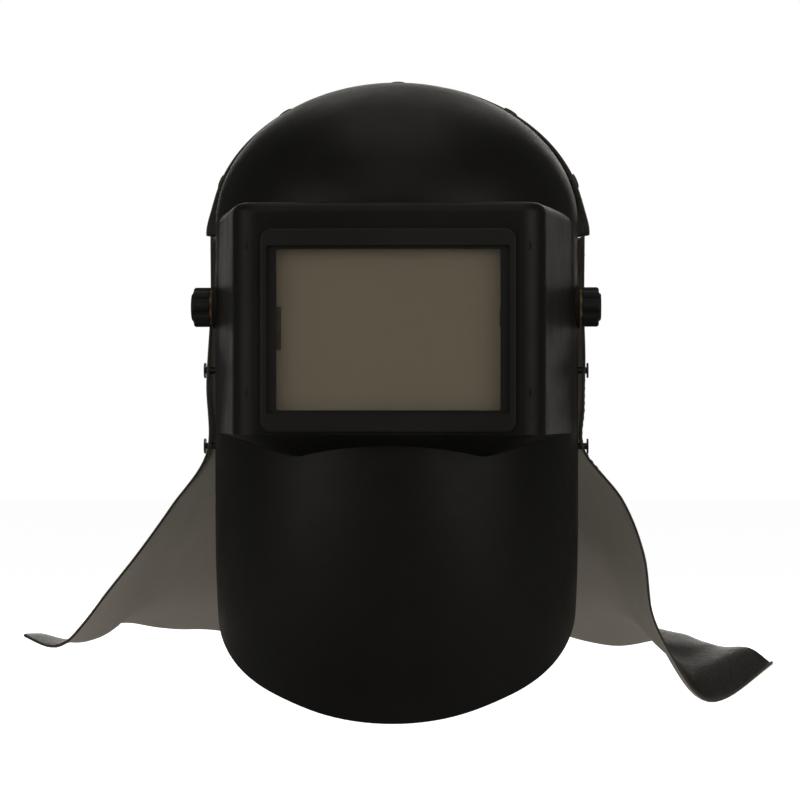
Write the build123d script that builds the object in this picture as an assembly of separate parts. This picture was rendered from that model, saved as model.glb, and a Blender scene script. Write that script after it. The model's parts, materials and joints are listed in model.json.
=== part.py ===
"""Welding helmet: moulded shell, fixed lens bay, tilting ratchet headgear and a riveted leather cape.

Millimetres. +Z is up and the face looks towards -Y. The origin is the middle of the line
between the two temple pivots, which is also the middle of the wearer's head.
"""
from build123d import *
import os
from math import cos, pi, radians, sin, sqrt

# --- Driving dimensions -------------------------------------------------------------
# Shell
WALL = 2.2                       # moulded wall
HALF_W = 110.0                   # half width
BODY_Y = 15.0                    # where the shell is widest
DOME_Z = 50.0                    # height where the walls turn into the dome
DOME_RISE = 86.0                 # dome height above that
DOME_REACH = 128.0               # dome depth in front of BODY_Y
FACE_Y = -128.0                  # flat front of the lens bay
BAY_TOP, BAY_LOW = 55.0, -75.5   # lens bay from brow ledge to undercut
BAY_HALF = 86.0                  # half width of the flat front
BOSS_R, BOSS_IN, BOSS_OUT = 13.0, 106.8, 110.4   # flat pivot bosses, in X
PIVOT_HOLE_R = 4.6
# Lens plates, 5 1/4 by 4 1/2 inches, and their frame and holder
PLATE_W, PLATE_H, PLATE_Z = 133.4, 114.3, -11.8
WINDOW_W, WINDOW_H, WINDOW_Z = 125.6, 90.4, -16.6
FRAME_W, FRAME_H, FRAME_Z = 143.0, 114.0, -17.0
FRAME_PROUD = 2.6
OPENING_W, OPENING_H = 137.8, 100.0
HOLDER_W, HOLDER_H = 141.0, 122.0
HOLDER_SCREWS = [(x, z) for x in (-76.0, 76.0) for z in (-52.0, 30.0)]
# Leather cape
LEATHER = 1.5
CAPE_HALF, CAPE_REAR, CAPE_RISE = 113.5, 140.5, 86.8   # inner half axes of the hood
HOOD_FRONT, HOOD_LOW = 26.0, 45.0
RIVET_ANGLES = (-72, -38, 0, 38, 72)                   # around the crown rim
RIVET_Y, RIVET_R = 36.0, 2.0
# Skirt rivets, as side, height and the distance from the middle to the outer head
SKIRT_RIVETS = [(-1, -38.0, 116.3), (-1, -84.0, 116.3), (1, -38.0, 115.2), (1, -84.0, 115.2)]
SKIRT_RIVET_Y = 14.5
HEAD_R = 4.6                     # rivet heads
# Headgear
GAP = 0.3                        # between pieces that only lie together
BAND_TILT = 21.7                 # headband plane, forehead up and nape down
BAND_A, BAND_B = 80.0, 103.0     # headband outer half axes in its own plane
BAND_Y, BAND_Z = 9.5, 8.5        # centre of the headband
BAND_T, BAND_H = 1.8, 24.0
TAIL_T, TAIL_H = 1.2, 21.0
TAIL_START = 62.0                # along the band's plane, where the tails begin
ARM_IN, ARM_OUT = 81.0, 103.0    # pivot arm, in X
ARM_RIVETS = [(-9.0, 17.5), (9.0, 14.5)]
STUD_R = 4.0                     # M8 temple stud
BORE_PLAY = 0.06                 # running clearance round the stud
KNOB_R, KNOB_IN, KNOB_OUT = 11.9, 112.1, 123.4
CROWN_Y, CROWN_Z = 34.0, -1.3    # rivets of the crown strap
CROWN_FOOT = 82.0                # inner face of the strap at its rivets
CROWN_RISE, CROWN_LEAN = 107.0, 11.0
CROWN_HOLES = (-26, -13, 0, 13, 26)
PITCH_R, TEETH = 5.6, 12         # ratchet pinion
RATCHET_HALF, RATCHET_H = 33.0, 29.0
RATCHET_KNOB_R = 15.0
RATCHET_SCREWS = [(x, w) for x in (-28.0, 28.0) for w in (-13.0, 13.0)]

BIG = 400.0                      # larger than the helmet, for cutting tools
BAND_PLANE = Plane(
    origin=(0, BAND_Y, BAND_Z),
    x_dir=(1, 0, 0),
    z_dir=(0, sin(radians(BAND_TILT)), cos(radians(BAND_TILT))),
)


def save(name, *solids):
    """Writes one node's STEP file."""
    flat = [solid for shape in solids for solid in shape.solids()]
    shape = Compound(children=flat) if len(flat) > 1 else flat[0]
    export_step(shape, f"parts/{name}.step")


def block(x0, x1, y0, y1, z0, z1):
    """A box given by its limits."""
    return Pos((x0 + x1) / 2, (y0 + y1) / 2, (z0 + z1) / 2) * Box(x1 - x0, y1 - y0, z1 - z0)


def along_x(radius, x0, x1, y=0.0, z=0.0):
    """A cylinder along X from x0 to x1."""
    plane = Plane(origin=(x0, y, z), x_dir=(0, 1, 0), z_dir=(1, 0, 0))
    return extrude(plane * Circle(radius), amount=x1 - x0)


def along_y(radius, y0, y1, x=0.0, z=0.0):
    """A cylinder along Y from y0 to y1."""
    plane = Plane(origin=(x, y0, z), x_dir=(1, 0, 0), z_dir=(0, 1, 0))
    return extrude(plane * Circle(radius), amount=y1 - y0)


def face_plate(width, height, depth0, depth1, z, radius=0.0):
    """A plate parallel to the lens face, its depths counted back from the face."""
    outline = RectangleRounded(width, height, radius) if radius else Rectangle(width, height)
    return extrude(Plane.XZ.offset(-FACE_Y - depth0) * Pos(0, z) * outline, amount=depth0 - depth1)


def mirrored(solid):
    """The same solid on the other side of the helmet."""
    return mirror(solid, about=Plane.YZ)


# --- Shell --------------------------------------------------------------------------
# Height, half width and reach in front of BODY_Y of the shell below the dome.
CHEEK_ROWS = [
    (DOME_Z, HALF_W, DOME_REACH),
    (0.0, HALF_W, DOME_REACH),
    (-75.0, HALF_W, 127.5),
    (-130.0, HALF_W, 126.0),
    (-175.0, 109.0, 118.0),
    (-215.0, 106.0, 105.0),
    (-262.0, 101.0, 83.0),
]
# Side view of the rear rim, from the crown down to the chin, as (y, z).
RIM = [(54, 200), (52, 110), (44, 45), (22, 30), (21, -110), (14, -182), (-66, -231), (-100, -264)]
RIM_RADII = {2: 9, 3: 12, 4: 90, 5: 30, 6: 60}


def bay_outline(inset):
    """Plan of the lens bay, moved inwards; its rear corners lie inside the cheeks."""
    half, front = BAY_HALF - inset, FACE_Y + inset
    side = 105.5 - inset
    left, right = [(-60, 30), (-side, -20), (-half, front)], [(half, front), (side, -20), (60, 30)]
    outline = Polyline(*left, *right, close=True)
    face = make_face(outline)
    return fillet(face.vertices().sort_by(Axis.Y)[:2], max(15 - inset / 2, 4))


def bay_blank(inset):
    """The lens bay: a flat-fronted drum with a sloping underside."""
    top, low = BAY_TOP - inset, BAY_LOW + inset
    drum = extrude(Plane.XY.offset(low) * bay_outline(inset), amount=top - low)
    rim = drum.edges().group_by(Axis.Z)[-1].filter_by_position(Axis.Y, -BIG, 20)
    drum = fillet(rim, 6 - inset)
    slope = loft([
        Plane.XY.offset(low) * bay_outline(inset),
        Plane.XY.offset(low - 21) * bay_outline(inset + 50),
    ])
    return drum + slope


def shell_blank(inset):
    """The closed outer form of the shell, or its inner form when inset by the wall."""
    rows = [Plane.XY.offset(z) * Pos(0, BODY_Y) * Ellipse(a - inset, b - inset) for z, a, b in CHEEK_ROWS]
    unit = 100.0
    axes = (HALF_W - inset, DOME_REACH - inset, DOME_RISE - inset)
    dome = Pos(0, BODY_Y, DOME_Z) * scale(Sphere(unit), by=tuple(axis / unit for axis in axes))
    dome = dome & block(-BIG, BIG, -BIG, BIG, DOME_Z, BIG)
    return loft(rows) + dome + bay_blank(inset)


def rim_keeper():
    """Everything in front of the rear rim, as an extrusion along X."""
    outline = make_face(Polyline((-BIG, 200), *RIM, (-BIG, -264), close=True))
    for index, radius in RIM_RADII.items():
        y, z = RIM[index]
        corner = outline.vertices().sort_by_distance((y, z, 0))[0]
        outline = fillet(corner, radius)
    return extrude(Plane.YZ * outline, amount=BIG / 2, both=True)


def stop_lug():
    """The moulded lug inside the right cheek that the stop plate's finger stops."""
    return block(102.4, 108.2, 13.5, 18.5, -7.4, -1.5)


def make_shell():
    """The moulded shell with its opening, pivot bosses, screw posts and rivet holes."""
    shell = (shell_blank(0.0) - shell_blank(WALL)) & rim_keeper()
    boss = along_x(BOSS_R, BOSS_IN, BOSS_OUT) + stop_lug()
    spot_face = along_x(BOSS_R, 95, BOSS_IN)
    shell = shell - spot_face - mirrored(spot_face) + boss + mirrored(boss)
    hole = along_x(PIVOT_HOLE_R, 95, 120)
    shell = shell - hole - mirrored(hole)
    shell = shell - face_plate(OPENING_W, OPENING_H, -5, 5, WINDOW_Z, 2)
    for x, z in HOLDER_SCREWS:
        shell = shell + along_y(4.0, FACE_Y + 1.0, FACE_Y + 8.0, x, z)
        shell = shell - along_y(1.75, FACE_Y + 3.5, FACE_Y + 9.0, x, z)
    for angle in RIVET_ANGLES:
        shell = shell - rivet_hole(angle)
    for side, z, _ in SKIRT_RIVETS:
        shell = shell - along_x(RIVET_R + 0.2, side * 100, side * 120, SKIRT_RIVET_Y, z)
    return shell


# --- Cape ---------------------------------------------------------------------------
def crown_point(angle):
    """Point on the outer crown above the rim, and the direction out of it, at a rivet."""
    slice_scale = sqrt(1 - ((RIVET_Y - BODY_Y) / DOME_REACH) ** 2)
    t = radians(angle)
    x, z = HALF_W * slice_scale * sin(t), DOME_RISE * slice_scale * cos(t)
    out = Vector(x / HALF_W**2, (RIVET_Y - BODY_Y) / DOME_REACH**2, z / DOME_RISE**2).normalized()
    return Vector(x, RIVET_Y, DOME_Z + z), out


def height_to_hood(point, out):
    """Distance along a rivet from the crown to the outside of the hood."""
    axes = (CAPE_HALF + LEATHER, CAPE_REAR + LEATHER, CAPE_RISE + LEATHER)
    start = (point.X, point.Y - BODY_Y, point.Z - DOME_Z)
    step = (out.X, out.Y, out.Z)
    a = sum((d / r) ** 2 for d, r in zip(step, axes))
    b = sum(s * d / r**2 for s, d, r in zip(start, step, axes))
    c = sum((s / r) ** 2 for s, r in zip(start, axes)) - 1
    return (-b + sqrt(b * b - a * c)) / a


def rivet_hole(angle):
    """The hole for one crown rivet, through shell and hood."""
    point, out = crown_point(angle)
    return extrude(Plane(origin=point - out * 8, z_dir=out) * Circle(RIVET_R + 0.2), amount=20)


def crown_rivet(angle):
    """A rivet through the crown and the hood, with a head on both sides."""
    point, out = crown_point(angle)
    reach = height_to_hood(point, out)
    bottom = point - out * (WALL + 1.9)
    shank = extrude(Plane(origin=bottom, z_dir=out) * Circle(RIVET_R), amount=reach + WALL + 3.2)
    inner = extrude(Plane(origin=bottom, z_dir=out) * Circle(HEAD_R), amount=1.2)
    cap = extrude(Plane(origin=point + out * (reach + 0.5), z_dir=out) * Circle(HEAD_R), amount=1.3)
    return shank + inner + cap


def skirt_rivet(side, z, seat):
    """A rivet that holds the side of the skirt to the cheek, its outer head lying at seat."""
    shank = along_x(RIVET_R, 105.2, seat + 0.6, SKIRT_RIVET_Y, z)
    inner_head = along_x(HEAD_R, 105.2, 106.4, SKIRT_RIVET_Y, z)
    outer_head = along_x(HEAD_R, seat, seat + 1.1, SKIRT_RIVET_Y, z)
    rivet = shank + inner_head + outer_head
    return rivet if side > 0 else mirrored(rivet)


def make_hood():
    """The leather hood over the crown's rear rim and the back of the head."""
    unit = 100.0
    inner_axes = (CAPE_HALF, CAPE_REAR, CAPE_RISE)
    inner = scale(Sphere(unit), by=tuple(r / unit for r in inner_axes))
    outer = scale(Sphere(unit), by=tuple((r + LEATHER) / unit for r in inner_axes))
    hood = Pos(0, BODY_Y, DOME_Z) * (outer - inner)
    hood = hood & block(-BIG, BIG, HOOD_FRONT, BIG, HOOD_LOW, BIG)
    for angle in RIVET_ANGLES:
        hood = hood - rivet_hole(angle)
    return hood


# The skirt's free edges from the hood down to the curled corners, and its middle line
# down the back.
RIGHT_EDGE = [
    (112.8, 20, 44), (112.5, 20, 0), (113, 12, -30), (112.4, 9, -60), (112.8, 9, -87), (136, 11, -117),
    (149, 13, -150), (154, 15, -185), (166, 18, -211), (184, 28, -237), (203, 42, -239), (236, 66, -217),
]
LEFT_EDGE = [
    (-112.8, 20, 44), (-112.8, 20, 0), (-114.2, 9, -45), (-114.2, 9, -88), (-136, 11, -121), (-157, 13, -150),
    (-177, 16, -175), (-191, 20, -193), (-204, 28, -206), (-217, 38, -209), (-237, 56, -203),
]
BACK_LINE = [(0, 153.5, 44.0), (0, 160, -50), (0, 173, -150), (0, 187, -214)]


def skirt_point(down, across):
    """A point of the skirt's inner face, from its top, 0, to its hem, 1, and from left, -1, to right, 1."""
    edge = (RIGHT if across > 0 else LEFT) @ down
    back = BACK @ down
    turn = abs(across) * pi / 2
    open_out = 1 + 0.6 * down
    x = edge.X * sin(turn)
    y = edge.Y + (back.Y - edge.Y) * cos(turn) ** open_out
    z = back.Z + (edge.Z - back.Z) * sin(turn) ** 3
    return Vector(x, y, z)


RIGHT, LEFT, BACK = Spline(*RIGHT_EDGE), Spline(*LEFT_EDGE), Spline(*BACK_LINE)


def make_skirt():
    """The leather skirt that hangs from the hood and flares out behind the shoulders."""
    rows, columns = 16, 24
    grid = [
        [skirt_point(row / rows, 2 * column / columns - 1) for column in range(columns + 1)]
        for row in range(rows + 1)
    ]
    sheet = Face.make_surface_from_array_of_points(grid, tol=0.5, min_deg=3, max_deg=5)
    skirt = thicken(sheet, amount=-LEATHER)
    for side, z, _ in SKIRT_RIVETS:
        hole = along_x(RIVET_R + 0.2, 100, 120, SKIRT_RIVET_Y, z)
        skirt = skirt - (hole if side > 0 else mirrored(hole))
    return skirt


# --- Lens bay -----------------------------------------------------------------------
def make_lens_frame():
    """The bezel on the face, with a spigot through the shell that the cover plate rests on."""
    flange = face_plate(FRAME_W, FRAME_H, -FRAME_PROUD, 0, FRAME_Z, 6)
    flange = fillet(flange.edges().group_by(Axis.Y)[0], 1.2)
    flange = flange - face_plate(136, 94, -FRAME_PROUD - 1, 0, WINDOW_Z, 1)
    spigot = face_plate(OPENING_W - 0.4, OPENING_H - 0.4, 0, 4.2, WINDOW_Z, 1.8)
    spigot = spigot - face_plate(WINDOW_W, WINDOW_H, -1, 5, WINDOW_Z, 0.8)
    return flange + spigot


def make_gasket():
    """The soft ring between cover plate and filter, notched for the two leaf springs."""
    ring = face_plate(PLATE_W - 0.4, PLATE_H - 0.4, 6.1, 7.5, PLATE_Z)
    ring = ring - face_plate(WINDOW_W + 1.4, WINDOW_H + 3.6, 6, 8, WINDOW_Z)
    notch = block(-65.3, -60, FACE_Y + 6, FACE_Y + 8, -30, -2)
    return ring - notch - block(60, 65.3, FACE_Y + 6, FACE_Y + 8, -17, -3)


def plate_spring(x0, x1, z0, z1):
    """A flat leaf that keeps the plates from rattling; its end shows in the window."""
    return block(x0, x1, FACE_Y + 6.2, FACE_Y + 7.4, z0, z1)


def make_holder():
    """The tray behind the plates: walls round their edges, a rear lip and four screw ears."""
    tray = face_plate(HOLDER_W, HOLDER_H, 4.3, 13.5, PLATE_Z, 3)
    for x, z in HOLDER_SCREWS:
        inner = 66 if x > 0 else -66
        ear = block(min(x, inner), max(x, inner), FACE_Y + 8.2, FACE_Y + 10.6, z - 5, z + 5)
        tray = tray + ear + along_y(5.0, FACE_Y + 8.2, FACE_Y + 10.6, x, z)
    tray = tray - face_plate(PLATE_W + 1.0, PLATE_H + 1.0, 4, 11.9, PLATE_Z)
    tray = tray - face_plate(120, 92, 11, 14, WINDOW_Z, 3)
    for x, z in HOLDER_SCREWS:
        tray = tray - along_y(1.9, FACE_Y + 8, FACE_Y + 11, x, z)
    return tray


def holder_screw(x, z):
    """One of the four screws that hold the tray to the posts in the shell."""
    head = along_y(3.2, FACE_Y + 10.7, FACE_Y + 12.4, x, z)
    shank = along_y(1.6, FACE_Y + 4.0, FACE_Y + 11.0, x, z)
    return shank + head - along_y(1.3, FACE_Y + 11.6, FACE_Y + 13, x, z)


# --- Headband -----------------------------------------------------------------------
def band_ring(outside, inside, height):
    """A ring round the head in the band's plane, between two offsets from the band's outline."""
    outer = Ellipse(BAND_A + outside, BAND_B + outside)
    inner = Ellipse(BAND_A + inside, BAND_B + inside)
    return extrude(BAND_PLANE * (outer - inner), amount=height / 2, both=True)


def band_block(x0, x1, u0, u1, w0, w1):
    """A box in the band's plane: across the head, backwards along the plane, and out of it."""
    centre = Pos((x0 + x1) / 2, (u0 + u1) / 2, (w0 + w1) / 2)
    return BAND_PLANE.location * centre * Box(x1 - x0, u1 - u0, w1 - w0)


def band_rod(radius, u0, u1, x=0.0, w=0.0):
    """A cylinder that points backwards along the band's plane."""
    start = BAND_PLANE.from_local_coords(Vector(x, u0, w))
    back = BAND_PLANE.y_dir
    return extrude(Plane(origin=start, x_dir=(1, 0, 0), z_dir=back) * Circle(radius), amount=u1 - u0)


def side_holes(radius):
    """Tools for the holes of the arm and crown rivets on the right side."""
    tools = [along_x(radius, 60, 100, y, z) for y, z in ARM_RIVETS]
    return tools + [along_x(radius, 60, 100, CROWN_Y, CROWN_Z)]


def make_band():
    """The headband from temple to temple round the forehead, open at the back."""
    band = band_ring(0, -BAND_T, BAND_H) - band_block(-BIG, BIG, TAIL_START, BIG, -BIG, BIG)
    for tool in side_holes(2.1):
        band = band - tool - mirrored(tool)
    return band


def make_tail(side):
    """One rear tail of the band, slotted with a rack for the ratchet's pinion."""
    outside = 1.4 if side < 0 else -0.1
    tail = band_ring(outside, outside - TAIL_T, TAIL_H)
    far_end = 26.0
    keep = band_block(-BIG, far_end, TAIL_START + 0.2, BIG, -BIG, BIG)
    if side > 0:
        keep = band_block(-far_end, BIG, TAIL_START + 0.2, BIG, -BIG, BIG)
    tail = tail & keep
    rest = band_block(0, BIG, 0, 90, -BIG, BIG) if side < 0 else band_block(-BIG, 0, 0, 90, -BIG, BIG)
    rack, plain = (6.6, 7.6) if side < 0 else (7.6, 6.6)
    tail = tail - rest - band_block(-22, 22, 95, 110, -plain, rack)
    ring = band_ring(outside, outside - TAIL_T, TAIL_H)
    pitch = 2 * pi * PITCH_R / TEETH
    for index in range(-7, 7):
        middle = (index + 0.5) * pitch
        tooth = band_block(middle - 0.4, middle + 0.4, 95, 110, 4.95, 7.0)
        if side > 0:
            tooth = band_block(middle - 0.4, middle + 0.4, 95, 110, -7.0, -4.95)
        tail = tail + (tooth & ring)
    return tail


def make_sweatband():
    """The padded sweatband round the inside of the forehead."""
    pad = band_ring(-BAND_T - GAP, -BAND_T - 6.5, BAND_H + 4) - band_block(-BIG, BIG, -30, BIG, -BIG, BIG)
    return pad


def make_arm():
    """The right pivot arm: a riveted plate and a boss out to the stop plate."""
    plate = block(ARM_IN, ARM_IN + 3.6, -15, 15, -10, 23)
    plate = fillet(plate.edges().filter_by(Axis.X), 6)
    neck = Plane(origin=(ARM_IN + 3.6, 0, 0), x_dir=(0, 1, 0), z_dir=(1, 0, 0))
    tip = neck.offset(ARM_OUT - ARM_IN - 3.6)
    boss = loft([neck * Circle(10), neck.offset(8) * Circle(8), tip * Circle(8)])
    arm = plate + boss - along_x(STUD_R + 0.05, 70, 110) - along_x(7.6, 80, ARM_IN + 2.1)
    for y, z in ARM_RIVETS:
        arm = arm - along_x(2.1, 70, 90, y, z)
    return arm


def arm_rivet(y, z):
    """A rivet through band and arm on the right side."""
    return along_x(2.0, 75.0, 86.0, y, z) + along_x(3.6, 74.6, 75.8, y, z) + along_x(3.6, 84.8, 86.2, y, z)


def make_stud():
    """The right temple stud, with its head sunk in the inside of the arm."""
    shaft = chamfer(along_x(STUD_R, ARM_IN + 0.1, 121.5).edges().group_by(Axis.X)[-1], 0.8)
    return shaft + along_x(7.5, ARM_IN + 0.1, ARM_IN + 2.0)


def make_stop_plate():
    """The keyed plate on the right stud whose finger stops the shell's lug."""
    disc = along_x(9.5, ARM_OUT + 0.1, ARM_OUT + 1.7)
    finger = block(ARM_OUT + 0.1, ARM_OUT + 1.7, 0, 18.5, -1.2, 4.5)
    return disc + finger - along_x(STUD_R + 0.05, 100, 110)


def washer(x0, x1, radius):
    """A flat washer on the right stud."""
    return along_x(radius, x0, x1) - along_x(STUD_R + 0.1, x0 - 1, x1 + 1)


def make_knob():
    """The right tension knob, eight lobes round a domed cap, with a hexagonal pocket inside."""
    plane = Plane(origin=(KNOB_IN, 0, 0), x_dir=(0, 1, 0), z_dir=(1, 0, 0))
    outline = Circle(KNOB_R - 0.9)
    for index in range(8):
        angle = radians(index * 45 + 22.5)
        outline = outline - Pos(13.3 * cos(angle), 13.3 * sin(angle)) * Circle(3.4)
        lobe = radians(index * 45)
        outline = outline + Pos(8.9 * cos(lobe), 8.9 * sin(lobe)) * Circle(3.0)
    envelope = along_x(KNOB_R, KNOB_IN, KNOB_OUT - 1.4)
    envelope = chamfer(envelope.edges().group_by(Axis.X)[-1], 0.9)
    grip = extrude(plane * outline, amount=KNOB_OUT - KNOB_IN - 1.4) & envelope
    cap = along_x(8.4, KNOB_OUT - 2, KNOB_OUT)
    cap = fillet(cap.edges().group_by(Axis.X)[-1], 1.2)
    pocket = extrude(plane.offset(-1) * RegularPolygon(7.6, 6), amount=7.2)
    return grip + cap - pocket - along_x(STUD_R + 0.5, 110, KNOB_OUT - 1.2)


def make_knob_nut():
    """The hexagonal brass nut moulded into the knob, bored for the stud."""
    plane = Plane(origin=(KNOB_IN + 0.2, 0, 0), x_dir=(0, 1, 0), z_dir=(1, 0, 0))
    return extrude(plane * RegularPolygon(7.4, 6), amount=5.8) - along_x(STUD_R + BORE_PLAY, 110, 125)


# --- Crown strap --------------------------------------------------------------------
CROWN_PLANE = Plane(
    origin=(0, CROWN_Y, CROWN_Z),
    x_dir=(1, 0, 0),
    z_dir=(0, -cos(radians(CROWN_LEAN)), -sin(radians(CROWN_LEAN))),
)


def crown_block(x0, x1, up0, up1, width):
    """A box in the crown plane."""
    centre = Pos((x0 + x1) / 2, (up0 + up1) / 2, 0)
    return CROWN_PLANE.location * centre * Box(x1 - x0, up1 - up0, width)


def crown_rod(radius, up0, up1, x=0.0):
    """A cylinder that points up along the crown plane."""
    plane = Plane(
        origin=CROWN_PLANE.from_local_coords(Vector(x, up0, 0)),
        x_dir=(1, 0, 0),
        z_dir=CROWN_PLANE.y_dir,
    )
    return extrude(plane * Circle(radius), amount=up1 - up0)


def crown_strap(side):
    """One half of the strap over the head; the right half lies on the left one at the top."""
    width, over_middle, tab = 18, 33, 8.5
    inside = 0.0 if side < 0 else 1.9
    outside = inside + 1.5
    ring = Ellipse(CROWN_FOOT + outside, CROWN_RISE + outside)
    ring = ring - Ellipse(CROWN_FOOT + inside, CROWN_RISE + inside)
    arch = extrude(CROWN_PLANE * ring, amount=width / 2, both=True)
    keep = crown_block(-BIG, over_middle, -tab, BIG, BIG)
    if side > 0:
        keep = crown_block(-over_middle, BIG, -tab, BIG, BIG)
    other_foot = crown_block(0, BIG, -BIG, CROWN_RISE / 2, BIG)
    if side > 0:
        other_foot = crown_block(-BIG, 0, -BIG, CROWN_RISE / 2, BIG)
    arch = (arch & keep) - other_foot
    for x in CROWN_HOLES:
        arch = arch - crown_rod(2.3, CROWN_RISE - 30, CROWN_RISE + 9, x)
    rivet_hole_tool = along_x(2.2, 70, 90, CROWN_Y, CROWN_Z)
    return arch - (rivet_hole_tool if side > 0 else mirrored(rivet_hole_tool))


def crown_peg():
    """The two-headed peg that pins the halves of the crown strap together."""
    lower = crown_rod(5.0, CROWN_RISE - 1.9, CROWN_RISE - 0.5)
    upper = crown_rod(5.0, CROWN_RISE + 3.6, CROWN_RISE + 5.2)
    return lower + upper + crown_rod(2.1, CROWN_RISE - 1.0, CROWN_RISE + 4.0)


def crown_pivot():
    """The right rivet that the crown strap swings on."""
    seat = CROWN_FOOT + 3.7
    pin = along_x(2.0, 73.0, seat + 1.0, CROWN_Y, CROWN_Z)
    inner_head = along_x(4.0, 72.6, 73.8, CROWN_Y, CROWN_Z)
    return pin + inner_head + along_x(4.0, seat, seat + 1.3, CROWN_Y, CROWN_Z)


# --- Ratchet at the nape --------------------------------------------------------------
def ratchet_shell(outside, inside, height):
    """A curved plate that follows the tails across the nape."""
    return band_ring(outside, inside, height) & band_block(-RATCHET_HALF, RATCHET_HALF, 0, BIG, -BIG, BIG)


def make_ratchet_base():
    """The inner half of the ratchet housing."""
    base = ratchet_shell(-1.6, -4.4, RATCHET_H)
    for x, w in RATCHET_SCREWS:
        base = base - band_rod(1.2, 80, 110, x, w)
    return base


def make_ratchet_cover():
    """The outer half of the housing, with the flanges above and below the tails."""
    flanges = ratchet_shell(1.8, -1.5, RATCHET_H) - band_block(-BIG, BIG, 0, BIG, -11.5, 11.5)
    cover = ratchet_shell(4.6, 1.7, RATCHET_H) + flanges - band_rod(3.8, 90, 120)
    for x, w in RATCHET_SCREWS:
        cover = cover - band_rod(1.2, 80, 110, x, w) - band_rod(2.5, 100.9, 110, x, w)
    return cover


def ratchet_screw(x, w):
    """One of the four screws of the housing."""
    return band_rod(1.1, 92.6, 101.4, x, w) + band_rod(2.2, 101.0, 102.6, x, w)


def make_pinion():
    """The pinion between the racks, in one piece with the knob's shaft."""
    tooth = Polyline((4.2, -0.95), (6.3, -0.35), (6.3, 0.35), (4.2, 0.95), close=True)
    outline = Circle(4.7)
    for index in range(TEETH):
        outline = outline + Rot(0, 0, index * 360 / TEETH) * make_face(tooth)
    start = BAND_PLANE.from_local_coords(Vector(0, 101.8, 0))
    plane = Plane(origin=start, x_dir=(1, 0, 0), z_dir=BAND_PLANE.y_dir)
    return extrude(plane * outline, amount=2.6) + band_rod(3.5, 104, 113) - band_rod(1.7, 107, 114)


def make_click_ring():
    """The toothed ring on the housing that the knob clicks round."""
    start = BAND_PLANE.from_local_coords(Vector(0, 107.7, 0))
    plane = Plane(origin=start, x_dir=(1, 0, 0), z_dir=BAND_PLANE.y_dir)
    outline = Circle(11.4) - Circle(8.6)
    for index in range(24):
        angle = radians(index * 15)
        outline = outline - Pos(11.6 * cos(angle), 11.6 * sin(angle)) * Circle(0.7)
    return extrude(plane * outline, amount=2.0)


def make_ratchet_knob():
    """The knob at the nape: a scalloped rim round a hub on the pinion's shaft."""
    start = BAND_PLANE.from_local_coords(Vector(0, 108.4, 0))
    plane = Plane(origin=start, x_dir=(1, 0, 0), z_dir=BAND_PLANE.y_dir)
    outline = Circle(RATCHET_KNOB_R)
    for index in range(12):
        angle = radians(index * 30 + 15)
        outline = outline - Pos(16.8 * cos(angle), 16.8 * sin(angle)) * Circle(3.0)
    knob = extrude(plane * outline, amount=8.6)
    cavity = band_rod(12.2, 108, 110.2) - band_rod(5.2, 108, 110.2)
    return knob - cavity - band_rod(3.56, 108, 113.2) - band_rod(1.7, 112, 120) - band_rod(3.4, 115.4, 120)


def make_knob_screw():
    """The screw that keeps the knob on the pinion's shaft."""
    return band_rod(1.6, 108, 116) + band_rod(3.0, 115.5, 117.4) - band_rod(1.2, 116.5, 118)


def make_nape_pad():
    """The soft pad between the ratchet housing and the nape."""
    pad = band_ring(-4.8, -10.5, 34) & band_block(-36, 36, 0, BIG, -BIG, BIG)
    return pad


def save_pair(name, right):
    """Writes a right-hand piece and its mirror image."""
    save(f"{name}_right", right)
    save(f"{name}_left", mirrored(right))


def build_visor():
    """The shell, the lens bay and the cape."""
    save("helmet_shell", make_shell())
    save("lens_frame", make_lens_frame())
    save("cover_plate", face_plate(PLATE_W, PLATE_H, 4.4, 5.9, PLATE_Z))
    save("lens_gasket", make_gasket())
    save("plate_spring_left", plate_spring(-65.0, -60.3, -28, -3.6))
    save("plate_spring_right", plate_spring(62.3, 65.0, -15, -5))
    save("filter_plate", face_plate(PLATE_W, PLATE_H, 7.6, 10.6, PLATE_Z))
    save("inner_plate", face_plate(PLATE_W, PLATE_H, 10.7, 11.7, PLATE_Z))
    save("lens_holder", make_holder())
    save("holder_screws", *[holder_screw(x, z) for x, z in HOLDER_SCREWS])
    save("cape_hood", make_hood())
    save("cape_skirt", make_skirt())
    save("crown_rivets", *[crown_rivet(angle) for angle in RIVET_ANGLES])
    save("skirt_rivets", *[skirt_rivet(*rivet) for rivet in SKIRT_RIVETS])


def build_headgear():
    """The headband, its pivots, the crown strap and the ratchet."""
    save("head_band", make_band())
    save("band_tail_left", make_tail(-1))
    save("band_tail_right", make_tail(1))
    save("sweatband", make_sweatband())
    save_pair("pivot_arm", make_arm())
    rivets = [arm_rivet(y, z) for y, z in ARM_RIVETS]
    save("arm_rivets", *rivets, *[mirrored(rivet) for rivet in rivets])
    save_pair("temple_stud", make_stud())
    save_pair("stop_plate", make_stop_plate())
    save_pair("inner_washer", washer(ARM_OUT + 1.9, BOSS_IN - 0.2, 9.5))
    save_pair("outer_washer", washer(BOSS_OUT + 0.2, KNOB_IN - 0.2, 10.5))
    save_pair("tension_knob", make_knob())
    save_pair("knob_nut", make_knob_nut())
    save("crown_strap_left", crown_strap(-1))
    save("crown_strap_right", crown_strap(1))
    save("crown_peg", crown_peg())
    save("crown_pivots", crown_pivot(), mirrored(crown_pivot()))
    save("ratchet_base", make_ratchet_base())
    save("ratchet_cover", make_ratchet_cover())
    save("ratchet_screws", *[ratchet_screw(x, w) for x, w in RATCHET_SCREWS])
    save("click_ring", make_click_ring())
    save("ratchet_pinion", make_pinion())
    save("ratchet_knob", make_ratchet_knob())
    save("knob_screw", make_knob_screw())
    save("nape_pad", make_nape_pad())


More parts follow.
